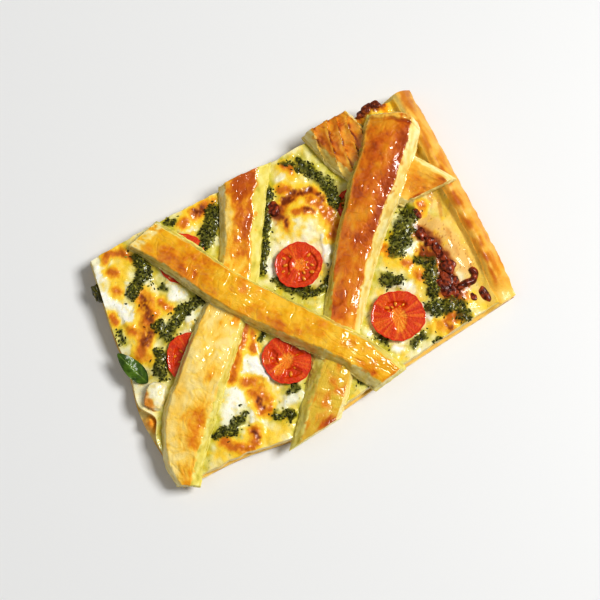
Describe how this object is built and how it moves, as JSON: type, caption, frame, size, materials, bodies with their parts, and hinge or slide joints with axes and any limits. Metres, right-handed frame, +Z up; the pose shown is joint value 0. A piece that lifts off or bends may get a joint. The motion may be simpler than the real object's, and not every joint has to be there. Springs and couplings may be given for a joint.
{
  "type": "savoury tart slice",
  "caption": "Rectangular slice of puff pastry tart with a cheese filling, tomato halves, herb paste, browned onion and a lattice of glazed pastry strips.",
  "frame": {"origin": "middle of the slice in plan, on its flat underside", "axes": "+X along the long side toward the raised border, +Z up out of the top"},
  "size_m": [0.199, 0.1336, 0.0282],
  "materials": {
    "pastry_base": "baked",
    "cheese_filling": "baked",
    "strip_left": "glazed",
    "strip_top": "glazed",
    "strip_right": "glazed",
    "strip_long": "glazed",
    "tomato": "moist",
    "cheese_lump": "moist",
    "herb_leaf": "wilted"
  },
  "bodies": {
    "root": {"pastry_base": "pastry_base", "cheese_filling": "cheese_filling", "strip_left": "strip_left", "strip_top": "strip_top", "strip_right": "strip_right", "strip_long": "strip_long", "tomato_1": "tomato", "tomato_2": "tomato", "tomato_3": "tomato", "tomato_4": "tomato", "tomato_5": "tomato", "tomato_6": "tomato", "cheese_lump": "cheese_lump", "herb_leaf": "herb_leaf"}
  },
  "joints": []
}
